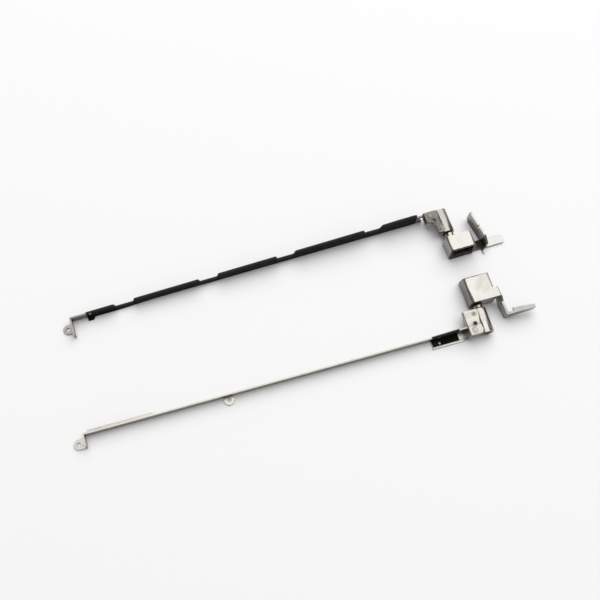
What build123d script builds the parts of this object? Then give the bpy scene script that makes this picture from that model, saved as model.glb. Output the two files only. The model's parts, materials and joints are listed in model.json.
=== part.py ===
"""Laptop hinge pair, lying open flat: two friction hinges with screen rails.

Each hinge is drawn with its axis along Y over x = 0, the rail towards -X, the feet towards +X,
the barrel's inboard end at y = 0 and outboard as +Y. The left one is mirrored. Sizes in mm, +Z up.
"""
from build123d import *
import os

os.makedirs("parts", exist_ok=True)

# Stock
hinge_sheet = 1.2
rail_sheet = 0.8
fold_r = 0.7
fold_inset = 0.2
tape_thick = 0.25

# Friction barrel and pin
barrel_lift = 0.2
barrel_r = 3.5
barrel_length = 13.6
curl_sweep = 300
pin_clear = 0.05
collar_r = 2.5
collar_clear = 0.2
spigot_r = 1.7
spigot_clear = 0.03
head_clear = 0.4
head_thick = 0.8
pin_short = 0.6
pin_chamfer = 0.5

# Lid leaf and lap plate
leaf_reach = 9.8
leaf_gap = 0.2
lap_start = 0.2
lap_edge = 3.3
lap_wave = 0.5
lap_overhang = 0.1
leaf_short = 1.0
flange_drop = 4.6
mount_hole_r = 1.25
mount_hole_x = -6.3
mount_hole_shift = 1.0
burr_r = 1.75
burr_high = 0.3
rivet_x = -7.4
rivet_inset = 2.6
rivet_r = 0.9
rivet_head_r = 1.5
rivet_head_thick = 0.3
screw_x = -5.0
screw_y = 2.4
screw_r = 0.8
screw_head_r = 1.2
screw_head_thick = 0.45
recess_wide = 0.4
recess_deep = 0.25
fastener_clear = 0.03

# Base boxes
box_left = -4.5
box_wide = 14.7
box_high = 10.0
box_slant = 1.2
bend_inner = 0.4
base_hole_r = 1.25

# Right base strip, arm and foot
right_box_gap = 4.2
right_box_length = 9.9
strip_inset = 0.8
arm_root_x = 17.3
arm_end_x = 14.2
right_arm_end = 6.2
right_arm_high = 9.0
arm_corner = 2.0
arm_shoulder = 4.3
arm_root_high = 5.5
arm_notch_at = 10.0
arm_notch_wide = 2.0
arm_notch_deep = 1.2
foot_tip = 29.4
foot_wide = 5.1
foot_round = 1.6
spike_reach = 3.4
spike_wide = 3.4
spike_shift = 1.6

# Left shoulder, arm and tongue
left_box_gap = 3.0
left_box_length = 15.3
shoulder_length = 5.4
shoulder_x = 11.1
tongue_x = 12.7
left_arm_end = 7.4
tongue_tip = 29.3
tongue_high = 6.6
tongue_tip_rise = 2.6
tongue_flange = 3.0
tongue_tip_flange = 1.9
tongue_flange_start = 17.0

# Right rail
right_rail_length = 209.0
right_web_inset = 1.3
right_web_high = 9.4
right_web_far = 5.2
notch_near = 40.2
notch_second = 90.6
notch_third = 133.9
notch_far_inset = 29.0
notch_wide = 11.3
notch_deep = 3.4
right_leg = 10.0
right_ear_reach = 2.4
right_tape_start = 14.9
right_tape_short = 8.8
tape_lift = 0.3
side_hole_r = 1.1
side_hole_near = 25.3
side_hole_inset = 10.8
side_hole_z = 3.8
neck_slot_wide = 1.6
neck_slot_high = 4.0
right_skirt_inner = 8.0
right_skirt_low = 4.2
leaf_waist = 7.6
leaf_root = 6.4

# Left rail
left_rail_length = 215.4
left_web_y = 8.2
left_web_high = 5.0
left_leg = 6.8
floor_overhang = 0.1
left_floor_start = 30.5
stiff_width = 1.0
stiff_start = 180.0
mid_ear_x = -141.0
ear_r = 2.6
ear_hole_r = 1.1
left_ear_reach = 3.2
leg_high = 5.0
left_tape_start = 15.2
left_tape_end = 30.2
corner_hole_x = -26.0
dot_hole_r = 0.5
floor_hole_r = 0.7
tape_back = 1.2
tape_lip = 1.0
left_skirt_low = 5.5

# Lay of the pair on the table
right_lay = 23.8
right_splay = 1.0
left_lay = 23.1
left_splay = 0.9

# Worked out
axis_z = barrel_r + barrel_lift
bend_r = hinge_sheet + bend_inner
head_r = axis_z - hinge_sheet - head_clear
barrel_bore_r = barrel_r - hinge_sheet
pin_r = barrel_bore_r - pin_clear
leaf_top = axis_z + barrel_r
leaf_under = leaf_top - hinge_sheet
lap_top = leaf_top + rail_sheet
skirt_x = -(leaf_reach + leaf_gap)
box_right = box_left + box_wide
rail_start = skirt_x - rail_sheet
leaf_end = barrel_length - leaf_short
flange_y = leaf_end + lap_overhang
mount_hole_y = barrel_length / 2 + mount_hole_shift
rivet_y = barrel_length - rivet_inset
right_web_y = flange_y + rail_sheet - right_web_inset
notch_far = right_rail_length - notch_far_inset
left_floor_out = barrel_length + floor_overhang
right_tape_end = right_rail_length - right_tape_short
side_hole_far = right_rail_length - side_hole_inset


def edge_near(part, along, **at):
    """Edges of a part that run along an axis at the given place."""
    axes = {"x": Axis.X, "y": Axis.Y, "z": Axis.Z}
    found = part.edges().filter_by(along)
    for letter, value in at.items():
        found = found.filter_by_position(axes[letter], value - 0.01, value + 0.01)
    return found


def make_pin(gap):
    """Turned pin: peened head inside the box, spigot, collar and friction shaft."""
    wall_y = -gap - hinge_sheet
    with BuildPart() as pin:
        with BuildSketch(Plane.YZ):
            with BuildLine():
                Polyline(
                    (wall_y - head_thick, axis_z),
                    (wall_y - head_thick, axis_z + head_r),
                    (wall_y, axis_z + head_r),
                    (wall_y, axis_z + spigot_r),
                    (-gap, axis_z + spigot_r),
                    (-gap, axis_z + collar_r),
                    (-collar_clear, axis_z + collar_r),
                    (-collar_clear, axis_z + pin_r),
                    (barrel_length - pin_short - pin_chamfer, axis_z + pin_r),
                    (barrel_length - pin_short, axis_z + pin_r - pin_chamfer),
                    (barrel_length - pin_short, axis_z),
                    close=True,
                )
            make_face()
        revolve(axis=Axis((0, 0, axis_z), (0, 1, 0)))
    return pin.part


def sheared_corner():
    """Inboard corner that is sheared off the right leaf and lap plate in one round sweep."""
    outside = rail_start - leaf_gap
    with BuildSketch() as corner:
        with BuildLine():
            ThreePointArc(
                (outside, right_skirt_inner),
                (-leaf_waist, 0.8 * right_skirt_inner),
                (-leaf_root, -leaf_gap),
            )
            Polyline(
                (-leaf_root, -leaf_gap),
                (outside, -leaf_gap),
                (outside, right_skirt_inner),
            )
        make_face()
    return corner.sketch


def make_leaf(sheared):
    """Sheet rolled round the pin, with a flat leaf that runs off the top of the barrel."""
    with BuildPart() as leaf:
        with BuildSketch(Plane.XZ.offset(-barrel_length)):
            with BuildLine():
                outer = CenterArc((0, axis_z), barrel_r, 90, -curl_sweep)
                inner = CenterArc((0, axis_z), barrel_bore_r, 90, -curl_sweep)
                Line(outer @ 1, inner @ 1)
                Polyline(
                    inner @ 0,
                    (-leaf_reach, leaf_under),
                    (-leaf_reach, leaf_top),
                    outer @ 0,
                )
            make_face()
        extrude(amount=barrel_length)
        with BuildSketch(Plane.XY.offset(leaf_under)):
            with BuildLine():
                Polyline(
                    (-leaf_reach, leaf_end),
                    (-barrel_r, leaf_end),
                    (-barrel_r, barrel_length),
                    (-leaf_reach, barrel_length),
                    close=True,
                )
            make_face()
            if sheared:
                add(sheared_corner())
        extrude(amount=hinge_sheet, mode=Mode.SUBTRACT)
        with BuildSketch(Plane.XY.offset(leaf_under)):
            with Locations((mount_hole_x, mount_hole_y)):
                Circle(mount_hole_r)
            with Locations((rivet_x, rivet_y)):
                Circle(rivet_r + fastener_clear)
            with Locations((screw_x, screw_y)):
                Circle(screw_r + fastener_clear)
        extrude(amount=hinge_sheet, mode=Mode.SUBTRACT)
    return leaf.part


def make_rivet():
    """Flat rivet through lap plate and leaf, headed on both faces."""
    with BuildPart() as rivet:
        with BuildSketch(Plane.XY.offset(leaf_under - rivet_head_thick)):
            with Locations((rivet_x, rivet_y)):
                Circle(rivet_head_r)
        extrude(amount=rivet_head_thick)
        with BuildSketch(Plane.XY.offset(leaf_under)):
            with Locations((rivet_x, rivet_y)):
                Circle(rivet_r)
        extrude(amount=lap_top - leaf_under)
        with BuildSketch(Plane.XY.offset(lap_top)):
            with Locations((rivet_x, rivet_y)):
                Circle(rivet_head_r)
        extrude(amount=rivet_head_thick, taper=30)
    return rivet.part


def make_screw():
    """Cross-recess screw through lap plate and leaf."""
    with BuildPart() as screw:
        with BuildSketch(Plane.XY.offset(leaf_under)):
            with Locations((screw_x, screw_y)):
                Circle(screw_r)
        extrude(amount=lap_top - leaf_under)
        with BuildSketch(Plane.XY.offset(lap_top)):
            with Locations((screw_x, screw_y)):
                Circle(screw_head_r)
        extrude(amount=screw_head_thick, taper=15)
        with BuildSketch(Plane.XY.offset(lap_top + screw_head_thick)):
            with Locations((screw_x, screw_y)):
                Rectangle(1.4 * screw_head_r, recess_wide)
                Rectangle(recess_wide, 1.4 * screw_head_r)
        extrude(amount=-recess_deep, mode=Mode.SUBTRACT)
    return screw.part


def base_box(gap, length):
    """Folded box with the pin's wall facing the barrel and its inboard end open and sheared at a slant."""
    middle = (box_left + box_wide / 2, box_high / 2)
    far = -gap - length
    with BuildPart() as box:
        with BuildSketch(Plane.XZ.offset(gap)):
            with Locations(middle):
                RectangleRounded(box_wide, box_high, bend_r)
        extrude(amount=length)
        with BuildSketch(Plane.XZ.offset(gap + hinge_sheet)):
            with Locations(middle):
                RectangleRounded(box_wide - 2 * hinge_sheet, box_high - 2 * hinge_sheet, bend_inner)
        extrude(amount=length, mode=Mode.SUBTRACT)
        with BuildSketch(Plane.YZ.offset(box_left)):
            with BuildLine():
                Polyline((far, 0), (far + box_slant, box_high), (far, box_high), close=True)
            make_face()
        extrude(amount=box_wide, mode=Mode.SUBTRACT)
        with BuildSketch(Plane.XZ.offset(gap)):
            with Locations((0, axis_z)):
                Circle(spigot_r + spigot_clear)
        extrude(amount=hinge_sheet, mode=Mode.SUBTRACT)
        # screw hole in the floor
        with BuildSketch(Plane.XY):
            with Locations((middle[0], (far - gap - hinge_sheet) / 2)):
                Circle(base_hole_r)
        extrude(amount=hinge_sheet, mode=Mode.SUBTRACT)
    return box.part


def make_right_base():
    """Right box on a flat base strip that ends in a foot, with a turned arm bent up from the strip."""
    strip_y = -right_box_gap - right_box_length + strip_inset
    run = Vector(arm_end_x - arm_root_x, right_arm_end - strip_y)
    outward = (run.Y, -run.X, 0)
    along_arm = Plane(origin=(arm_root_x, strip_y, 0), x_dir=(run.X, run.Y, 0), z_dir=outward)
    arm_length = run.length
    notch_from = arm_notch_at - arm_notch_wide / 2
    notch_to = arm_notch_at + arm_notch_wide / 2
    box = base_box(right_box_gap, right_box_length)
    with BuildPart() as bracket:
        with BuildSketch(along_arm):
            with BuildLine():
                Polyline(
                    (0, 0),
                    (arm_length - arm_corner, 0),
                    (arm_length, arm_corner),
                    (arm_length, right_arm_high - arm_corner / 2),
                    (arm_length - arm_corner / 2, right_arm_high),
                    (notch_to, right_arm_high),
                    (notch_to, right_arm_high - arm_notch_deep),
                    (notch_from, right_arm_high - arm_notch_deep),
                    (notch_from, right_arm_high),
                    (arm_shoulder, right_arm_high),
                    (0, arm_root_high),
                    close=True,
                )
            make_face()
        extrude(amount=hinge_sheet)
        with BuildSketch(Plane.XY) as foot:
            with Locations((box_right - bend_r, strip_y)):
                Rectangle(foot_tip - box_right + bend_r, foot_wide, align=Align.MIN)
            fillet(foot.vertices().group_by(Axis.X)[-1], radius=foot_round)
            with BuildLine():
                Polyline(
                    (arm_root_x - spike_shift - hinge_sheet / 2, strip_y + hinge_sheet),
                    (arm_root_x - spike_shift, strip_y - spike_reach),
                    (arm_root_x - spike_shift + spike_wide, strip_y + hinge_sheet),
                    close=True,
                )
            make_face()
        extrude(amount=hinge_sheet)
        along = bracket.edges().filter_by(Axis((0, 0, 0), (run.X, run.Y, 0)))
        roots = along.filter_by_position(Axis.Z, hinge_sheet - 0.01, hinge_sheet + 0.01)
        fillet(roots, radius=bend_inner)
        add(box)
    return bracket.part


def make_left_base():
    """Left box with a shoulder folded down into the arm, and an upright tongue at the arm's end."""
    shoulder_far = -left_box_gap - shoulder_length
    run = Vector(tongue_x - shoulder_x, left_arm_end - shoulder_far)
    outward = (run.Y, -run.X, 0)
    along_arm = Plane(origin=(shoulder_x, shoulder_far, 0), x_dir=(run.X, run.Y, 0), z_dir=outward)
    stretch = run.length / run.Y
    fold_far = along_arm.from_local_coords((0, 0, hinge_sheet))
    fold_near = along_arm.from_local_coords((shoulder_length * stretch, 0, hinge_sheet))
    box = base_box(left_box_gap, left_box_length)
    with BuildPart() as bracket:
        add(box)
        with BuildSketch(Plane.XY.offset(box_high - hinge_sheet)):
            with BuildLine():
                Polyline(
                    (box_right - bend_r, shoulder_far),
                    (shoulder_x, shoulder_far),
                    (fold_far.X, fold_far.Y),
                    (fold_near.X, fold_near.Y),
                    (shoulder_x + shoulder_length * run.X / run.Y, -left_box_gap),
                    (box_right - bend_r, -left_box_gap),
                    close=True,
                )
            make_face()
        extrude(amount=hinge_sheet)
        with BuildSketch(along_arm):
            with BuildLine():
                Polyline(
                    (0, box_high),
                    (0, box_high / 2),
                    (-shoulder_far * stretch, 0),
                    (run.length, 0),
                    (run.length, tongue_high),
                    (-shoulder_far * stretch, tongue_high + hinge_sheet),
                    (shoulder_length * stretch, box_high),
                    close=True,
                )
            make_face()
        extrude(amount=hinge_sheet)
        with BuildSketch(Plane.XZ.offset(-left_arm_end)):
            with BuildLine():
                Polyline(
                    (tongue_x, 0),
                    (tongue_tip, tongue_tip_rise),
                    (tongue_tip, tongue_high),
                    (tongue_x, tongue_high),
                    close=True,
                )
            make_face()
        extrude(amount=hinge_sheet)
        with BuildSketch(Plane.XY.offset(tongue_high - hinge_sheet)):
            with BuildLine():
                Polyline(
                    (tongue_flange_start, left_arm_end),
                    (tongue_flange_start, left_arm_end - tongue_flange),
                    (tongue_tip, left_arm_end - tongue_tip_flange),
                    (tongue_tip, left_arm_end),
                    close=True,
                )
            make_face()
        extrude(amount=hinge_sheet)
        top = bracket.edges().filter_by_position(Axis.Z, box_high - 0.01, box_high + 0.01)
        bends = top.sort_by(Axis.X)[-1:] + edge_near(bracket, Axis.Z, x=tongue_x, y=left_arm_end)
        fillet(bends, radius=hinge_sheet - fold_inset)
    return bracket.part


def right_skirt():
    """Skirt of the right lap plate, a short straight lip."""
    with BuildSketch() as skirt:
        with BuildLine():
            Polyline(
                (right_skirt_inner, right_skirt_low),
                (flange_y + rail_sheet, right_skirt_low),
                (flange_y + rail_sheet, lap_top),
                (right_skirt_inner, lap_top),
                close=True,
            )
        make_face()
    return skirt.sketch


def left_skirt():
    """Skirt of the left lap plate, which sweeps down to the floor where the rail's wall meets it."""
    with BuildSketch() as skirt:
        with BuildLine():
            ThreePointArc(
                (left_web_y, 0),
                (0.65 * left_web_y, 0.7 * left_skirt_low),
                (lap_start, left_skirt_low),
            )
            Polyline(
                (lap_start, left_skirt_low),
                (lap_start, lap_top),
                (flange_y + rail_sheet, lap_top),
                (flange_y + rail_sheet, 0),
                (left_web_y, 0),
            )
        make_face()
    return skirt.sketch


def lap_plate(skirt, sheared):
    """Rail's lap plate over the leaf: wavy edge by the barrel, skirt down at the rail, end flange."""
    with BuildPart() as lap:
        with BuildSketch(Plane.XY.offset(leaf_top)):
            with BuildLine():
                wave = Spline(
                    (-lap_edge, lap_start),
                    (-lap_edge + lap_wave, barrel_length * 0.3),
                    (-lap_edge - lap_wave / 2, barrel_length * 0.55),
                    (-lap_edge + lap_wave / 2, barrel_length * 0.78),
                    (-lap_edge - lap_wave, flange_y + rail_sheet),
                )
                Polyline(
                    wave @ 1,
                    (rail_start, flange_y + rail_sheet),
                    (rail_start, lap_start),
                    wave @ 0,
                )
            make_face()
            if sheared:
                add(sheared_corner(), mode=Mode.SUBTRACT)
        extrude(amount=rail_sheet)
        # skirt folded down beside the leaf's edge
        with BuildSketch(Plane.YZ.offset(rail_start)):
            add(skirt)
        extrude(amount=rail_sheet)
        fillet(edge_near(lap, Axis.Y, x=rail_start, z=lap_top), radius=fold_r)
        # outboard edge folded down past the end of the barrel
        with BuildSketch(Plane.XZ.offset(-flange_y - rail_sheet)):
            with BuildLine():
                Polyline(
                    (skirt_x, lap_top - flange_drop),
                    (-lap_edge - lap_wave, lap_top - flange_drop),
                    (-lap_edge - lap_wave, lap_top),
                    (skirt_x, lap_top),
                    close=True,
                )
            make_face()
        extrude(amount=rail_sheet)
        # raised burr round the screw hole
        with BuildSketch(Plane.XY.offset(lap_top)):
            with Locations((mount_hole_x, mount_hole_y)):
                Circle(burr_r)
        extrude(amount=burr_high)
        with BuildSketch(Plane.XY.offset(leaf_top)):
            with Locations((mount_hole_x, mount_hole_y)):
                Circle(mount_hole_r)
            with Locations((rivet_x, rivet_y)):
                Circle(rivet_r + fastener_clear)
            with Locations((screw_x, screw_y)):
                Circle(screw_r + fastener_clear)
        extrude(amount=2 * rail_sheet, mode=Mode.SUBTRACT)
    return lap.part


def ear_on_leg(end_x, leg_from, leg_to, ear_y, reach):
    """End of a rail: a leg folded across, with a round screw ear folded out at its foot."""
    with BuildPart() as end:
        with BuildSketch(Plane.XZ.offset(-max(leg_from, leg_to))):
            with BuildLine():
                Polyline(
                    (end_x, 0),
                    (end_x + rail_sheet, 0),
                    (end_x + rail_sheet, leg_high),
                    (end_x, leg_high),
                    close=True,
                )
            make_face()
        extrude(amount=abs(leg_to - leg_from))
        with BuildSketch(Plane.XY):
            with Locations((end_x - reach, ear_y)):
                Circle(ear_r)
            with Locations((end_x - (reach - rail_sheet) / 2, ear_y)):
                Rectangle(reach + rail_sheet, 2 * ear_r)
            with Locations((end_x - reach, ear_y)):
                Circle(ear_hole_r, mode=Mode.SUBTRACT)
        extrude(amount=rail_sheet)
    return end.part


def right_top(x):
    """Height of the right rail's upper edge, which tapers from the hinge to the far end."""
    along = (-x - right_tape_start) / (right_rail_length - right_tape_start)
    return right_web_high + (right_web_far - right_web_high) * along


def rail_notches(margin):
    """Notches in the upper edge of the right rail, each narrower by the margin on every side."""
    with BuildSketch() as notches:
        for x in (-notch_near, -notch_second, -notch_third, -notch_far):
            with Locations((x, right_top(x) + margin)):
                Rectangle(notch_wide - 2 * margin, 2 * notch_deep)
    return notches.sketch


def make_right_rail():
    """Right rail: notched upright strip from the lap plate to the leg and ear at its far end."""
    web_out = right_web_y + rail_sheet
    notches = rail_notches(0)
    lap = lap_plate(right_skirt(), True)
    leg_foot = web_out - right_leg
    end = ear_on_leg(-right_rail_length, web_out, leg_foot, leg_foot + 2 * ear_r, right_ear_reach)
    with BuildPart() as rail:
        with BuildSketch(Plane.XZ.offset(-web_out)):
            with BuildLine():
                Polyline(
                    (-right_rail_length, 0),
                    (rail_start, 0),
                    (rail_start, lap_top - fold_r),
                    (-right_tape_start, lap_top - fold_r),
                    (-right_tape_start, right_web_high),
                    (-right_rail_length, right_web_far),
                    close=True,
                )
            make_face()
            add(notches, mode=Mode.SUBTRACT)
            with Locations((-side_hole_near, side_hole_z), (-side_hole_far, side_hole_z)):
                Circle(side_hole_r, mode=Mode.SUBTRACT)
            with Locations((rail_start - neck_slot_wide / 2 + fold_inset, (lap_top - fold_r) / 2)):
                SlotOverall(neck_slot_high, neck_slot_wide, rotation=90, mode=Mode.SUBTRACT)
        extrude(amount=rail_sheet)
        add(lap)
        add(end)
        fillet(edge_near(rail, Axis.Z, x=-right_rail_length, y=web_out), radius=fold_r)
    return rail.part


def make_right_tape(rail):
    """Black tape folded over the upper edge of the right rail, pressed into its notches."""
    notches = rail_notches(tape_thick)
    with BuildPart() as tape:
        with BuildSketch(Plane.XZ.offset(-right_web_y - rail_sheet - tape_thick)):
            with BuildLine():
                Polyline(
                    (-right_tape_end, tape_lift),
                    (-right_tape_start, tape_lift),
                    (-right_tape_start, right_web_high + tape_thick),
                    (-right_tape_end, right_top(-right_tape_end) + tape_thick),
                    close=True,
                )
            make_face()
        extrude(amount=rail_sheet + 2 * tape_thick)
        with BuildSketch(Plane.XZ.offset(-right_web_y - rail_sheet - 2 * tape_thick)):
            add(notches)
            with Locations((-side_hole_near, side_hole_z), (-side_hole_far, side_hole_z)):
                Circle(side_hole_r)
        extrude(amount=rail_sheet + 4 * tape_thick, mode=Mode.SUBTRACT)
        add(rail, mode=Mode.SUBTRACT)
    return tape.part


def make_left_rail():
    """Left rail: plain upright strip, with floor flange by the hinge, middle ear, end leg and ear."""
    web_out = left_web_y + rail_sheet
    end_x = -left_rail_length
    lap = lap_plate(left_skirt(), False)
    leg_foot = left_web_y + left_leg
    end = ear_on_leg(end_x, left_web_y, leg_foot, leg_foot - ear_r, left_ear_reach)
    with BuildPart() as rail:
        with BuildSketch(Plane.XZ.offset(-web_out)):
            with BuildLine():
                Polyline(
                    (end_x, 0),
                    (rail_start, 0),
                    (rail_start, lap_top - fold_r),
                    (-left_floor_start, left_web_high),
                    (end_x, left_web_high),
                    close=True,
                )
            make_face()
            with Locations((corner_hole_x, side_hole_z)):
                Circle(side_hole_r, mode=Mode.SUBTRACT)
        extrude(amount=rail_sheet)
        # floor flange, its small hole and the ear half way along
        with BuildSketch(Plane.XY):
            with BuildLine():
                Polyline(
                    (-left_floor_start, left_web_y),
                    (rail_start, left_web_y),
                    (rail_start, left_floor_out),
                    (-left_floor_start, left_floor_out),
                    close=True,
                )
            make_face()
            with Locations((corner_hole_x, (web_out + left_floor_out) / 2)):
                Circle(floor_hole_r, mode=Mode.SUBTRACT)
            with Locations((rail_start - 2 * dot_hole_r, left_floor_out - 2 * dot_hole_r)):
                Circle(dot_hole_r, mode=Mode.SUBTRACT)
            with Locations((mid_ear_x, left_web_y + ear_r)):
                Circle(ear_r)
                Circle(ear_hole_r, mode=Mode.SUBTRACT)
            with Locations((mid_ear_x, left_web_y + rail_sheet / 2)):
                Rectangle(2 * ear_r, rail_sheet)
        extrude(amount=rail_sheet)
        # stiffening edge folded inboard along the far third
        with BuildSketch(Plane.XY.offset(left_web_high - rail_sheet)):
            with BuildLine():
                Polyline(
                    (end_x + ear_r, web_out),
                    (end_x + ear_r, left_web_y - stiff_width),
                    (-stiff_start, left_web_y - stiff_width),
                    (-stiff_start + stiff_width, web_out),
                    close=True,
                )
            make_face()
        extrude(amount=rail_sheet)
        add(lap)
        add(end)
        fillet(edge_near(rail, Axis.Z, x=end_x, y=left_web_y), radius=fold_r)
    return rail.part


def make_left_tape(rail):
    """Short black tape up the left rail's rising wall, over its edge, and out over its floor."""
    web_out = left_web_y + rail_sheet
    rise = (lap_top - fold_r - left_web_high) / (left_floor_start + rail_start)
    far_top = left_web_high + rise * (left_floor_start - left_tape_end) + tape_thick
    near_top = left_web_high + rise * (left_floor_start - left_tape_start) + tape_thick
    with BuildPart() as tape:
        with BuildSketch(Plane.XZ.offset(-web_out - tape_thick)):
            with BuildLine():
                Polyline(
                    (-left_tape_end, rail_sheet),
                    (-left_tape_start, rail_sheet),
                    (-left_tape_start, near_top),
                    (-left_tape_end, far_top),
                    close=True,
                )
            make_face()
        extrude(amount=rail_sheet + 2 * tape_thick)
        with BuildSketch(Plane.XZ.offset(-left_web_y)):
            with BuildLine():
                Polyline(
                    (-left_tape_end, rail_sheet),
                    (-left_tape_start, rail_sheet),
                    (-left_tape_start, near_top - tape_back),
                    (-left_tape_end, far_top - tape_back),
                    close=True,
                )
            make_face()
        extrude(amount=tape_thick, mode=Mode.SUBTRACT)
        with BuildSketch(Plane.YZ.offset(-left_tape_end)):
            with Locations((web_out, rail_sheet)):
                Rectangle(left_floor_out - tape_lip - web_out, tape_thick, align=Align.MIN)
        extrude(amount=left_tape_end - left_tape_start)
        with BuildSketch(Plane.XZ.offset(-web_out - 2 * tape_thick)):
            with Locations((corner_hole_x, side_hole_z)):
                Circle(side_hole_r)
        extrude(amount=rail_sheet + 4 * tape_thick, mode=Mode.SUBTRACT)
        with BuildSketch(Plane.XY.offset(rail_sheet)):
            with Locations((corner_hole_x, (web_out + left_floor_out) / 2)):
                Circle(floor_hole_r)
        extrude(amount=2 * tape_thick, mode=Mode.SUBTRACT)
        add(rail, mode=Mode.SUBTRACT)
    return tape.part


right_rail = make_right_rail()
left_rail = make_left_rail()
right = {
    "right_base_bracket": make_right_base(),
    "right_hinge_pin": make_pin(right_box_gap),
    "right_lid_leaf": make_leaf(True),
    "right_rail": right_rail,
    "right_rail_tape": make_right_tape(right_rail),
    "right_lap_rivet": make_rivet(),
    "right_lap_screw": make_screw(),
}
left = {
    "left_base_bracket": make_left_base(),
    "left_hinge_pin": make_pin(left_box_gap),
    "left_lid_leaf": make_leaf(False),
    "left_rail": left_rail,
    "left_corner_tape": make_left_tape(left_rail),
    "left_lap_rivet": make_rivet(),
    "left_lap_screw": make_screw(),
}

# The right hinge lies on the +Y side, the left one mirrored on the -Y side, rails a little together
right_place = Location((0, right_lay, 0), (0, 0, right_splay))
left_place = Location((0, -left_lay, 0), (0, 0, -left_splay))
pieces = {}
for name, piece in right.items():
    pieces[name] = piece.moved(right_place)
for name, piece in left.items():
    pieces[name] = mirror(piece, about=Plane.XZ).moved(left_place)

# Origin at the middle of the whole pair's footprint
box = Compound(list(pieces.values())).bounding_box()
shift = Location((-box.center().X, -box.center().Y, -box.min.Z))
for name, piece in pieces.items():
    placed = piece.moved(shift)
    placed.label = name
    export_step(placed, f"parts/{name}.step")
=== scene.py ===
import json
import math

import bmesh
import bpy
from mathutils import Matrix, Vector, noise


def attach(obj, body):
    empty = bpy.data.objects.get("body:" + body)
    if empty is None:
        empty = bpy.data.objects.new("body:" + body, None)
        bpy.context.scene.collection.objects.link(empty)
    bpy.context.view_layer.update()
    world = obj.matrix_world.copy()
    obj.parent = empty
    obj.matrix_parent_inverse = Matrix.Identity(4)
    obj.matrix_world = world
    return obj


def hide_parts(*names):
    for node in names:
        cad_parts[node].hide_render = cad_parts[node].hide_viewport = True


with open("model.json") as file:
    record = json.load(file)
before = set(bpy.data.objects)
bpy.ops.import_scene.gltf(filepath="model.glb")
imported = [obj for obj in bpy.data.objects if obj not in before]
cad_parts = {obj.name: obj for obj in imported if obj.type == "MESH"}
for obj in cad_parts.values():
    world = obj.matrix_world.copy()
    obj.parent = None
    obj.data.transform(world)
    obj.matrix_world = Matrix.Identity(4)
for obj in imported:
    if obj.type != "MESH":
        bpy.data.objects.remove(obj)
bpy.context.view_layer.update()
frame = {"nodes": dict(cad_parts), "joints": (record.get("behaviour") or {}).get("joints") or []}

# Base brackets. Each is one blank of zinc-plated steel sheet, folded into a box that is screwed to the
# laptop's base, with the arm and the foot or tongue left on as tabs. The plate is satin and grainy. Painted
# shade darkens the sheared open ends of both boxes and one side wall of the left box, a painted shadow lies
# between the right box and its arm with painted shade on the arm's lower side, and the left tongue is
# darkened. A darkened patch is its place, reach and share.
mm = 0.001
plate_bright = (0.355, 0.345, 0.325, 1)
plate_dull = (0.27, 0.255, 0.23, 1)
plate_grain = 0.4 * mm
plate_cloud = 7 * mm
plate_rough = 0.28
bracket_edge = 0.12 * mm
# Dark colour of the flecks, and of the painted shade and painted shadows.
dark_speck_and_shade = (0.03, 0.027, 0.022, 1)
# Reach of the painted shade that darkens seams and hollows.
crevice_shade_reach = 1.4 * mm
fleck_size = 0.6 * mm
fleck_share = 0.3
grain_depth = 0.03 * mm
# Size of the broken edge of each darkened patch, painted shade or stain.
shade_and_stain_edge = 1.5 * mm
barrel_half = 6.8
end_lean = math.atan(0.12)
# The sheared open ends of both boxes are darkened: painted shade.
end_shade_reach = (16, 0.45, 13)
right_end_shade = ((2.85, -13.5, 5.0), end_shade_reach, 0.93)
left_end_shade = ((2.85, -17.7, 5.0), end_shade_reach, 0.93)
# Painted shadow on the strip between the right box and its arm, and painted shade on the arm's lower side.
arm_foot_shadow = ((13.8, -10.7, 0.8), (5.6, 5.0, 3.4), 0.97)
arm_side_shade = ((14.2, -4.5, 2.2), (3.4, 11.0, 5.6), 0.7)
# The left tongue is made darker about this place.
darker_tongue = ((22.0, 6.5, 6.5), (10.0, 5.0, 6.0), 0.36)
# One side wall of the left box is darkened: painted shade.
left_box_wall_shade = ((-4.5, -10.6, 5.0), (1.2, 13.0, 8.0), 0.42)


def new_material(name):
    material = bpy.data.materials.new(name)
    material.use_nodes = True
    return material, material.node_tree, material.node_tree.nodes["Principled BSDF"]


def add_node(tree, kind, **inputs):
    """Adds a node and sets or links its inputs, named with _ for a space."""
    node = tree.nodes.new(kind)
    for key, value in inputs.items():
        socket = node.inputs[key.replace("_", " ")]
        if isinstance(value, bpy.types.NodeSocket):
            tree.links.new(value, socket)
        else:
            socket.default_value = value
    return node


def object_noise(tree, size, detail=3.0, stretch=(1, 1, 1)):
    """Noise in object coordinates with lumps of the given size in metres."""
    place = add_node(tree, "ShaderNodeTexCoord")
    scaled = add_node(tree, "ShaderNodeMapping", Vector=place.outputs["Object"])
    scaled.inputs["Scale"].default_value = [1 / (size * part) for part in stretch]
    lumps = add_node(tree, "ShaderNodeTexNoise", Vector=scaled.outputs["Vector"], Scale=1.0, Detail=detail)
    return lumps.outputs["Fac"]


def ramp(tree, value, low, high, colours):
    node = add_node(tree, "ShaderNodeValToRGB", Fac=value)
    node.color_ramp.elements[0].position = low
    node.color_ramp.elements[1].position = high
    node.color_ramp.elements[0].color = colours[0]
    node.color_ramp.elements[1].color = colours[1]
    return node.outputs["Color"]


def spread(tree, value, low, high, to_low, to_high):
    node = add_node(tree, "ShaderNodeMapRange", Value=value)
    node.inputs["From Min"].default_value = low
    node.inputs["From Max"].default_value = high
    node.inputs["To Min"].default_value = to_low
    node.inputs["To Max"].default_value = to_high
    return node.outputs["Result"]


def bump(tree, height, depth):
    return add_node(tree, "ShaderNodeBump", Height=height, Strength=0.5, Distance=depth).outputs["Normal"]


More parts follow.
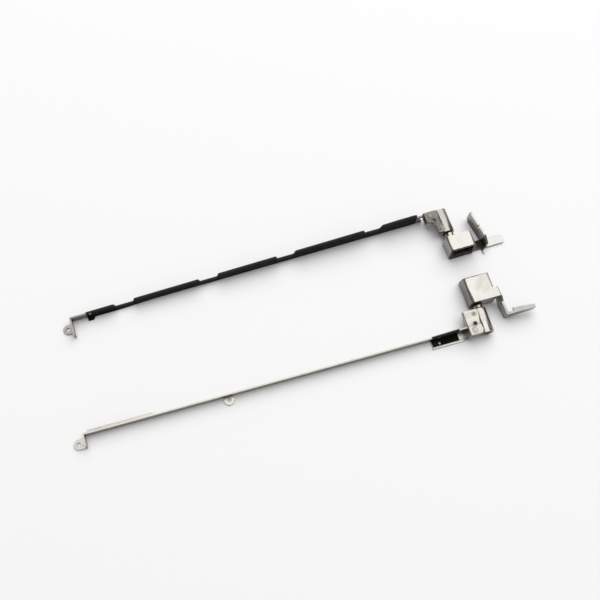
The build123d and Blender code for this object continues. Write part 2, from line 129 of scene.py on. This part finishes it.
def metal(name, bright, dull, grain, cloud, rough, stretch=(1, 1, 1), crevice_shade_share=0.9):
    """Bare or plated metal: cloudy colour and gloss, fine grain, dark flecks, and painted shade that
    darkens its seams and hollows.
    """
    material, tree, shader = new_material(name)
    fine = object_noise(tree, grain, 2.0, stretch)
    broad = object_noise(tree, cloud, 4.0, stretch)
    both = add_node(tree, "ShaderNodeMix", Factor=0.45)
    tree.links.new(broad, both.inputs["A"])
    tree.links.new(fine, both.inputs["B"])
    mixed = both.outputs["Result"]
    clean = ramp(tree, mixed, 0.30, 0.50, (dull, bright))
    flecks = spread(tree, object_noise(tree, fleck_size, 1.0), 0.64, 0.74, 0, fleck_share)
    flecked = add_node(tree, "ShaderNodeMixRGB", Fac=flecks, Color1=clean, Color2=dark_speck_and_shade)
    # Ambient occlusion darkens the colour in seams and hollows: painted shade.
    seam = add_node(tree, "ShaderNodeAmbientOcclusion", Distance=crevice_shade_reach)
    seam.samples = 8
    crevice_shade_mask = spread(tree, seam.outputs["AO"], 0.66, 0.94, crevice_shade_share, 0)
    crevice_shaded = add_node(tree, "ShaderNodeMixRGB", Fac=crevice_shade_mask, Color1=flecked.outputs["Color"], Color2=dark_speck_and_shade)
    tree.links.new(crevice_shaded.outputs["Color"], shader.inputs["Base Color"])
    tree.links.new(spread(tree, mixed, 0.3, 0.7, rough + 0.09, rough - 0.07), shader.inputs["Roughness"])
    tree.links.new(bump(tree, fine, grain_depth), shader.inputs["Normal"])
    shader.inputs["Metallic"].default_value = 1.0
    return material


def hinge_frame(side):
    """Frame of one hinge, in mm from its barrel's inboard end: x off the rail, y outboard, z up."""
    joint = next(joint for joint in frame["joints"] if joint["name"] == side + "_hinge")
    axis = Vector(joint["axis"])
    outboard = axis if side == "right" else -axis
    start = Vector(joint["pos_m"]) - outboard * barrel_half * mm
    place = Matrix.Identity(4)
    place.col[0] = Vector((axis.y, -axis.x, 0, 0)) * mm
    place.col[1] = Vector((outboard.x, outboard.y, 0, 0)) * mm
    place.col[2] = Vector((0, 0, mm, 0))
    place.col[3] = Vector((start.x, start.y, 0, 1))
    return place


def shade_and_stain(material, side, at, reach, share, lean=0):
    """Darkens a patch of a metal about a place of one hinge, with its reach in mm and a broken edge; most
    patches are painted shade or painted shadow.
    """
    tree = material.node_tree
    shader = tree.nodes["Principled BSDF"]
    clean = shader.inputs["Base Color"].links[0].from_socket
    place = add_node(tree, "ShaderNodeTexCoord")
    patch = add_node(tree, "ShaderNodeMapping", Vector=place.outputs["Object"])
    patch.vector_type = "TEXTURE"
    patch.inputs["Location"].default_value = hinge_frame(side) @ Vector(at)
    patch.inputs["Rotation"].default_value = (lean, 0, 0)
    patch.inputs["Scale"].default_value = Vector(reach) * mm
    away = add_node(tree, "ShaderNodeVectorMath", Vector=patch.outputs["Vector"])
    away.operation = "LENGTH"
    broken = tree.nodes.new("ShaderNodeMath")
    tree.links.new(away.outputs["Value"], broken.inputs[0])
    tree.links.new(spread(tree, object_noise(tree, shade_and_stain_edge), 0.3, 0.7, -0.2, 0.2), broken.inputs[1])
    thick = spread(tree, broken.outputs[0], 0.7, 1.0, share, 0)
    tinted = add_node(tree, "ShaderNodeMixRGB", Fac=thick, Color1=clean, Color2=dark_speck_and_shade)
    tree.links.new(tinted.outputs["Color"], shader.inputs["Base Color"])


def dress(names, material, edge):
    """Gives CAD pieces their finish and breaks their sharp edges."""
    for name in names:
        piece = frame["nodes"][name]
        piece.material_slots[0].material = material
        weld = piece.modifiers.new("weld", "WELD")
        weld.merge_threshold = 0.001 * mm
        soft = piece.modifiers.new("edge", "BEVEL")
        soft.width = edge
        soft.segments = 2
        soft.limit_method = "ANGLE"
        soft.angle_limit = math.radians(40)
        soft.harden_normals = True


plated_steel = metal("plated_steel", plate_bright, plate_dull, plate_grain, plate_cloud, plate_rough)
# Painted shade on both boxes' sheared open ends.
shade_and_stain(plated_steel, "right", *right_end_shade, -end_lean)
shade_and_stain(plated_steel, "left", *left_end_shade, end_lean)
# Painted shadow and painted shade by the right arm.
shade_and_stain(plated_steel, "right", *arm_foot_shadow)
shade_and_stain(plated_steel, "right", *arm_side_shade)
# Darkens the left tongue.
shade_and_stain(plated_steel, "left", *darker_tongue)
# Painted shade on the left box's side wall.
shade_and_stain(plated_steel, "left", *left_box_wall_shade)
dress(("right_base_bracket", "left_base_bracket"), plated_steel, bracket_edge)

# Hinge pins. Each is turned from bright steel with a faint yellow passivation, peened into the box wall
# and gripped by the leaf's curl, so fine turning marks run round it.
pin_bright = (0.38, 0.35, 0.28, 1)
pin_dull = (0.26, 0.235, 0.18, 1)
pin_marks = 0.12 * mm
pin_cloud = 2 * mm
pin_rough = 0.26
pin_turning = (40, 1, 40)
pin_edge = 0.08 * mm
pin_steel = metal("pin_steel", pin_bright, pin_dull, pin_marks, pin_cloud, pin_rough, pin_turning)
dress(("right_hinge_pin", "left_hinge_pin"), pin_steel, pin_edge)

# Lid leaves. The same plated sheet as the brackets, rolled tightly round the pin and run out flat under the
# rail's lap plate, with painted shade in the seam along the plate's edge. The right one has gone duller
# than the left.
leaf_bright = (0.345, 0.335, 0.315, 1)
leaf_dull = (0.24, 0.225, 0.20, 1)
old_leaf_bright = (0.275, 0.265, 0.245, 1)
old_leaf_dull = (0.185, 0.175, 0.155, 1)
leaf_rough = 0.27
# A dark band on the leaf along the lap plate's edge: painted shade in the seam.
seam_shade = ((-3.0, 6.8, 7.2), (1.1, 9.5, 2.0), 0.9)
leaf_edge = 0.12 * mm
leaf_steel = metal("leaf_steel", leaf_bright, leaf_dull, plate_grain, plate_cloud, leaf_rough)
old_leaf_steel = metal("old_leaf_steel", old_leaf_bright, old_leaf_dull, plate_grain, plate_cloud,
                       leaf_rough)
# Painted shade along the seam.
shade_and_stain(leaf_steel, "left", *seam_shade)
shade_and_stain(old_leaf_steel, "right", *seam_shade)
dress(("left_lid_leaf",), leaf_steel, leaf_edge)
dress(("right_lid_leaf",), old_leaf_steel, leaf_edge)

# Screen rails. Thin drawn steel strip, thinly plated, folded to an upright web with ears, lap plate and
# skirt. Drawing leaves faint lines along the strip, and the right one has gone duller than the left.
rail_bright = (0.34, 0.325, 0.295, 1)
rail_dull = (0.23, 0.215, 0.19, 1)
old_rail_bright = (0.205, 0.19, 0.17, 1)
old_rail_dull = (0.13, 0.12, 0.105, 1)
rail_lines = 0.2 * mm
rail_cloud = 3 * mm
rail_rough = 0.3
old_rail_rough = 0.32
rail_drawn = (30, 1, 1)
# Share of painted shade in the rails' seams and hollows.
rail_crevice_shade_share = 0.15
rail_edge = 0.08 * mm
dull_lap = ((-7.5, 7.0, 7.6), (6.5, 11.0, 3.0), 0.5)
rail_steel = metal("rail_steel", rail_bright, rail_dull, rail_lines, rail_cloud,
                   rail_rough, rail_drawn, rail_crevice_shade_share)
old_rail_steel = metal("old_rail_steel", old_rail_bright, old_rail_dull, rail_lines, rail_cloud,
                       old_rail_rough, rail_drawn, rail_crevice_shade_share)
shade_and_stain(old_rail_steel, "right", *dull_lap)
dress(("left_rail",), rail_steel, rail_edge)
dress(("right_rail",), old_rail_steel, rail_edge)

# Tapped holes. The burred hole of each lap plate takes a machine screw from the lid, so a fine thread is
# cut down through the plate and the leaf under it.
thread_at = (-6.3, 7.8)
thread_from = 6.15
thread_length = 1.95
thread_pitch = 0.45
thread_radius = 1.25
thread_depth = 0.15


def add_piece(name, mesh):
    piece = bpy.data.objects.new(name, mesh)
    bpy.context.scene.collection.objects.link(piece)
    return piece


def settle(piece):
    """Turns what the modifiers make into the piece's plain mesh."""
    solid = bpy.data.meshes.new_from_object(piece.evaluated_get(bpy.context.evaluated_depsgraph_get()))
    piece.modifiers.clear()
    piece.data = solid


def thread_tree(material):
    """Round-crested thread that winds up z about the origin."""
    tree = bpy.data.node_groups.new("tapped_thread", "GeometryNodeTree")
    tree.interface.new_socket("Thread", in_out="OUTPUT", socket_type="NodeSocketGeometry")
    for name in ("Radius", "Pitch", "Length", "Depth"):
        tree.interface.new_socket(name, in_out="INPUT", socket_type="NodeSocketFloat")
    sizes = tree.nodes.new("NodeGroupInput").outputs
    turns = tree.nodes.new("ShaderNodeMath")
    turns.operation = "DIVIDE"
    tree.links.new(sizes["Length"], turns.inputs[0])
    tree.links.new(sizes["Pitch"], turns.inputs[1])
    helix = add_node(tree, "GeometryNodeCurveSpiral", Resolution=40, Rotations=turns.outputs[0],
                     Start_Radius=sizes["Radius"], End_Radius=sizes["Radius"], Height=sizes["Length"])
    crest = add_node(tree, "GeometryNodeCurvePrimitiveCircle", Resolution=8, Radius=sizes["Depth"])
    wound = add_node(tree, "GeometryNodeCurveToMesh", Curve=helix.outputs["Curve"],
                     Profile_Curve=crest.outputs["Curve"], Fill_Caps=True)
    whole = add_node(tree, "GeometryNodeRealizeInstances", Geometry=wound.outputs["Mesh"])
    dressed = add_node(tree, "GeometryNodeSetMaterial", Geometry=whole.outputs["Geometry"],
                       Material=material)
    out = tree.nodes.new("NodeGroupOutput")
    tree.links.new(dressed.outputs["Geometry"], out.inputs["Thread"])
    return tree


thread_nodes = thread_tree(rail_steel)
for side in ("right", "left"):
    thread = add_piece(side + "_screw_thread", bpy.data.meshes.new(side + "_screw_thread"))
    winding = thread.modifiers.new("thread", "NODES")
    winding.node_group = thread_nodes
    for socket in thread_nodes.interface.items_tree:
        if socket.in_out == "INPUT":
            winding[socket.identifier] = {"Radius": thread_radius, "Pitch": thread_pitch,
                                          "Length": thread_length, "Depth": thread_depth}[socket.name]
    settle(thread)
    thread.data.transform(hinge_frame(side) @ Matrix.Translation((*thread_at, thread_from)))
    if side == "left":
        thread.data.flip_normals()
    thread.data.shade_smooth()
    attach(thread, side + "_lid")

# Rail tape. Black cloth tape is folded over the notched edge of the right rail and punched for the panel's
# screws. It bridges the notch corners, bags a little by the hinge, and has let go along its far lower edge.
tape_thick = 0.23
tape_near = -14.9
tape_far = -200.2
tape_low = 0.3
tape_in = 11.95
tape_out = 13.25
tape_fold = 0.4
tape_steps = 400
rail_end = -209.0
rail_near_high = 9.4
rail_far_high = 5.2
notch_middles = (-40.2, -90.6, -133.9, -180.0)
notch_half = 5.65
notch_deep = 3.4
notch_ramp = 1.1
bag_ramp = 1.8
bag_from = -44.0
bag_to = -34.0
bag_side = 0.28
bag_top = 0.4
loose_from = -160.0
loose_to = -190.0
loose_out = 0.6
flap_from = -195.9
flap_to = -197.7
flap_out = 1.5
wrinkle = 0.06
punch_radius = 1.4
punch_high = 3.8
punch_near = -25.3
punch_far = -198.2
cloth_black = (0.004, 0.0037, 0.0032, 1)
cloth_worn = (0.011, 0.010, 0.0085, 1)
# Lighter colour of the tape's upper fold, and its reach: painted sheen.
cloth_fold_sheen = (0.040, 0.037, 0.032, 1)
fold_sheen_reach = 1.3
cloth_thread = 0.28
cloth_patch = 5 * mm
cloth_gloss = 0.06
weave_depth = 0.05 * mm


def ease(part):
    """Smooth step from 0 to 1 as part goes from 0 to 1."""
    part = min(max(part, 0), 1)
    return part * part * (3 - 2 * part)


def crease(x, along, side):
    """Small wrinkles, in mm, that run unevenly across the tape."""
    return wrinkle * noise.noise(Vector((0.35 * x, 1.6 * along, 7.0 * side)))


def tape_top(x):
    """Upper fold of the rail tape, which follows the tapering rail and dips into its notches."""
    def rail_top(at):
        return rail_near_high + (rail_far_high - rail_near_high) * (tape_near - at) / (tape_near - rail_end)

    top = rail_top(x)
    for middle in notch_middles:
        slack = bag_ramp if x > notch_middles[0] else notch_ramp
        inside = ease((notch_half - abs(x - middle)) / slack)
        top += (rail_top(middle) - notch_deep - top) * inside
    bagged = ease((x - bag_to) / (tape_near - bag_to)) * ease((tape_near - x) / 6)
    return top + tape_thick + 4 * bag_top * bagged * (1 - bagged)


def arc(y, z, radius, start, end, count):
    """Points of an arc about (y, z) with their inward directions."""
    points = []
    for k in range(count + 1):
        angle = math.radians(start + (end - start) * k / count)
        out = Vector((math.cos(angle), math.sin(angle)))
        points.append((Vector((y, z)) + radius * out, -out))
    return points


def rail_tape_section(x):
    """Outer points of the tape's section with their inward directions, from the inboard lower edge."""
    top = tape_top(x)
    low = tape_low + 2 * wrinkle * noise.noise(Vector((0.2 * x, 3.0, 0.0)))
    bag = bag_side * ease((x - bag_from) / (bag_to - bag_from)) + 0.5 * wrinkle
    loose = loose_out * ease((x - loose_from) / (loose_to - loose_from))
    loose += flap_out * ease((x - flap_from) / (flap_to - flap_from))
    levels = [0, 0.08, 0.16, 0.26, 0.4, 0.6, 0.8]
    side_high = top - tape_fold - low
    points = []
    for level in levels:
        peel = loose * max(0, 1 - level / 0.4) ** 2
        y = tape_in - bag * math.sin(math.pi * level) - peel + crease(x, level, 1) * level
        points.append((Vector((y, low + level * side_high)), Vector((1, 0))))
    points += arc(tape_in + tape_fold, top - tape_fold, tape_fold, 180, 90, 4)
    points += arc(tape_out - tape_fold, top - tape_fold, tape_fold, 90, 0, 4)
    for level in reversed(levels):
        y = tape_out + bag * math.sin(math.pi * level) + crease(x, level, 2) * level
        points.append((Vector((y, low + level * side_high)), Vector((-1, 0))))
    return points


def swept_tape(name, side, far, near, steps, section):
    """Sweeps a tape's section along the rail into a closed skin, with the cut tape in mm as its UV map:
    along the rail, and across from the upper fold."""
    skin = bmesh.new()
    weave = skin.loops.layers.uv.new("weave")
    place = hinge_frame(side)
    laid = {}
    rows = []
    for k in range(steps + 1):
        x = far + (near - far) * k / steps
        points = section(x)
        across = [0]
        for (before, _), (point, _) in zip(points, points[1:]):
            across.append(across[-1] + (point - before).length)
        fold = max(range(len(points)), key=lambda n: points[n][0].y)
        outer = []
        inner = []
        for (point, inward), reach in zip(points, across):
            under = point + inward * tape_thick
            outer.append(skin.verts.new(place @ Vector((x, *point))))
            inner.append(skin.verts.new(place @ Vector((x, *under))))
            laid[outer[-1]] = (x, reach - across[fold])
            laid[inner[-1]] = (x, reach - across[fold])
        rows.append(outer + inner[::-1])
    for here, there in zip(rows, rows[1:]):
        for k in range(len(here)):
            n = (k + 1) % len(here)
            skin.faces.new((here[k], here[n], there[n], there[k]))
    for row in (rows[0], rows[-1]):
        for k in range(len(row) // 2 - 1):
            skin.faces.new((row[k], row[k + 1], row[-2 - k], row[-1 - k]))
    for face in skin.faces:
        for loop in face.loops:
            loop[weave].uv = laid[loop.vert]
    bmesh.ops.recalc_face_normals(skin, faces=skin.faces)
    mesh = bpy.data.meshes.new(name)
    skin.to_mesh(mesh)
    skin.free()
    return add_piece(name, mesh)


def punch(piece, side, holes):
    """Punches round holes, given as place, direction and radius in mm, through a tape."""
    cutters = []
    for at, toward, radius in holes:
        plug = bmesh.new()
        turn = Vector(toward).to_track_quat("Z", "X").to_matrix().to_4x4()
        bmesh.ops.create_cone(plug, cap_ends=True, segments=32, radius1=radius, radius2=radius, depth=3,
                              matrix=hinge_frame(side) @ Matrix.Translation(at) @ turn)
        bmesh.ops.recalc_face_normals(plug, faces=plug.faces)
        mesh = bpy.data.meshes.new("plug")
        plug.to_mesh(mesh)
        plug.free()
        cutters.append(add_piece("plug", mesh))
        cut = piece.modifiers.new("punch", "BOOLEAN")
        cut.solver = "EXACT"
        cut.operation = "DIFFERENCE"
        cut.object = cutters[-1]
    settle(piece)
    for cutter in cutters:
        bpy.data.objects.remove(cutter)
    piece.data.shade_smooth()
    piece.data.set_sharp_from_angle(angle=math.radians(50))


def cloth_tape(name):
    """Woven black tape, with a shallow weave, greyer patches and a painted sheen along its upper fold."""
    material, tree, shader = new_material(name)
    weave = add_node(tree, "ShaderNodeUVMap")
    weave.uv_map = "weave"
    threads = []
    for direction in ("X", "Y"):
        band = add_node(tree, "ShaderNodeTexWave", Vector=weave.outputs["UV"])
        band.inputs["Scale"].default_value = math.pi / 10 / cloth_thread
        band.bands_direction = direction
        threads.append(band.outputs["Fac"])
    cross = tree.nodes.new("ShaderNodeMath")
    cross.operation = "MULTIPLY"
    tree.links.new(threads[0], cross.inputs[0])
    tree.links.new(threads[1], cross.inputs[1])
    rubbed = object_noise(tree, cloth_patch, 5.0)
    cloth = ramp(tree, rubbed, 0.42, 0.75, (cloth_black, cloth_worn))
    across = tree.nodes.new("ShaderNodeMath")
    across.operation = "ABSOLUTE"
    laid = add_node(tree, "ShaderNodeSeparateXYZ", Vector=weave.outputs["UV"])
    tree.links.new(laid.outputs["Y"], across.inputs[0])
    # The upper fold is lightened: painted sheen.
    fold = spread(tree, across.outputs[0], 0.3, fold_sheen_reach, 0.8, 0)
    folded = add_node(tree, "ShaderNodeMixRGB", Fac=fold, Color1=cloth, Color2=cloth_fold_sheen)
    tree.links.new(folded.outputs["Color"], shader.inputs["Base Color"])
    tree.links.new(spread(tree, rubbed, 0.3, 0.7, 0.62, 0.46), shader.inputs["Roughness"])
    tree.links.new(bump(tree, cross.outputs[0], weave_depth), shader.inputs["Normal"])
    shader.inputs["Specular IOR Level"].default_value = cloth_gloss
    return material


black_tape = cloth_tape("black_cloth_tape")
rail_tape = swept_tape("rail_tape", "right", tape_far, tape_near, tape_steps, rail_tape_section)
across_rail = (0, 1, 0)
tape_middle = (tape_in + tape_out) / 2
punch(rail_tape, "right", [((punch_near, tape_middle, punch_high), across_rail, punch_radius),
                           ((punch_far, tape_middle, punch_high), across_rail, punch_radius)])
rail_tape.data.materials.append(black_tape)
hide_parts("right_rail_tape")
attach(rail_tape, "right_lid")

# Corner tape. A short piece of the same tape lies on the left rail by its hinge: out over the floor flange,
# up the wall and over its sloping edge, with the wall's and the floor's holes punched through.
corner_far = -30.2
corner_near = -15.2
corner_steps = 60
wall_in = 7.95
wall_out = 9.25
wall_far_high = 5.0
wall_slope_from = -30.5
wall_slope = 2.3 / 19.7
floor_high = 1.05
floor_reach = 12.7
corner_back = 1.2
corner_inner = 0.6
floor_hole_across = 11.35
corner_hole = -26.0
floor_hole_radius = 0.7


def corner_tape_section(x):
    """Outer points of the corner tape's section, from its inboard edge over the wall to its floor edge."""
    top = wall_far_high + wall_slope * (x - wall_slope_from) + tape_thick
    ragged = 2 * wrinkle * noise.noise(Vector((0.5 * x, 9.0, 0.0)))
    points = [(Vector((wall_in, top - corner_back + ragged)), Vector((1, 0)))]
    points += arc(wall_in + tape_fold, top - tape_fold, tape_fold, 180, 90, 4)
    points += arc(wall_out - tape_fold, top - tape_fold, tape_fold, 90, 0, 4)
    wall_high = top - tape_fold - floor_high - corner_inner
    for level in (0.75, 0.5, 0.25):
        y = wall_out + crease(x, level, 3)
        points.append((Vector((y, floor_high + corner_inner + level * wall_high)), Vector((-1, 0))))
    for point, inward in arc(wall_out + corner_inner, floor_high + corner_inner, corner_inner, 180, 270, 5):
        points.append((point, -inward))
    for level in (0.3, 0.6, 1.0):
        y = wall_out + corner_inner + level * (floor_reach - wall_out - corner_inner) + ragged * level
        points.append((Vector((y, floor_high + crease(x, level, 4) * (1 - level))), Vector((0, -1))))
    return points


corner_tape = swept_tape("corner_tape", "left", corner_far, corner_near, corner_steps, corner_tape_section)
punch(corner_tape, "left", [((corner_hole, wall_out, punch_high), across_rail, punch_radius),
                            ((corner_hole, floor_hole_across, floor_high), (0, 0, 1), floor_hole_radius)])
corner_tape.data.materials.append(black_tape)
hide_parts("left_corner_tape")
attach(corner_tape, "left_lid")

# Lap fasteners. A flat rivet and a small cross-recess screw hold each lap plate to its leaf, both in zinc
# plate that has gone greyer than the sheet, and more so on the right hinge.
fastener_bright = (0.25, 0.24, 0.22, 1)
fastener_dull = (0.17, 0.16, 0.145, 1)
fastener_grain = 0.2 * mm
fastener_cloud = 2 * mm
fastener_rough = 0.25
fastener_edge = 0.06 * mm
fastener_steel = metal("fastener_steel", fastener_bright, fastener_dull, fastener_grain, fastener_cloud,
                       fastener_rough)
shade_and_stain(fastener_steel, "right", *dull_lap)
fasteners = ("right_lap_rivet", "right_lap_screw", "left_lap_rivet", "left_lap_screw")
dress(fasteners, fastener_steel, fastener_edge)

# Table and studio. A plain white sheet of card carries the pair, under one broad soft lamp that stands
# behind the hinges, in a dim even surround.
table_size = 8.0
card_white = (0.93, 0.93, 0.93, 1)
surround = 0.3
lamp_toward = Vector((0.24, 0.45, 0.86)).normalized()
lamp_away = 3.2
lamp_size = 4.2
lamp_power = 132.0
half = table_size / 2
card_mesh = bpy.data.meshes.new("table")
card_corners = [(-half, -half, 0), (half, -half, 0), (half, half, 0), (-half, half, 0)]
card_mesh.from_pydata(card_corners, [], [(0, 1, 2, 3)])
card, card_tree, card_shader = new_material("white_card")
card_shader.inputs["Base Color"].default_value = card_white
card_shader.inputs["Roughness"].default_value = 0.9
card_shader.inputs["Specular IOR Level"].default_value = 0.1
card_mesh.materials.append(card)
add_piece("table", card_mesh)
world = bpy.data.worlds.new("surround")
world.use_nodes = True
world.node_tree.nodes["Background"].inputs["Color"].default_value = (1, 1, 1, 1)
world.node_tree.nodes["Background"].inputs["Strength"].default_value = surround
bpy.context.scene.world = world
key = bpy.data.lights.new("key_lamp", "AREA")
key.size = lamp_size
key.energy = lamp_power
key_lamp = add_piece("key_lamp", key)
key_lamp.location = lamp_toward * lamp_away
key_lamp.rotation_euler = (-lamp_toward).to_track_quat("-Z", "Y").to_euler()

# Camera. It stands over the rails, nearer to the left one, and looks down at the pair on its table, rolled
# a little, as the photograph was taken.
camera_place = Vector((-54.80, -121.67, 403.2)) * mm
camera_target = Vector((5.743, 9.977, 0)) * mm
camera_roll = math.radians(7.91)
camera_lens = 47.77
camera_data = bpy.data.cameras.new("camera")
camera_data.sensor_width = 36
camera_data.lens = camera_lens
camera_data.clip_start = 0.01
camera = add_piece("camera", camera_data)
look = (camera_target - camera_place).to_track_quat("-Z", "Y").to_matrix().to_4x4()
camera.matrix_world = Matrix.Translation(camera_place) @ look @ Matrix.Rotation(camera_roll, 4, "Z")
bpy.context.scene.camera = camera
bpy.context.scene.view_settings.view_transform = "Standard"
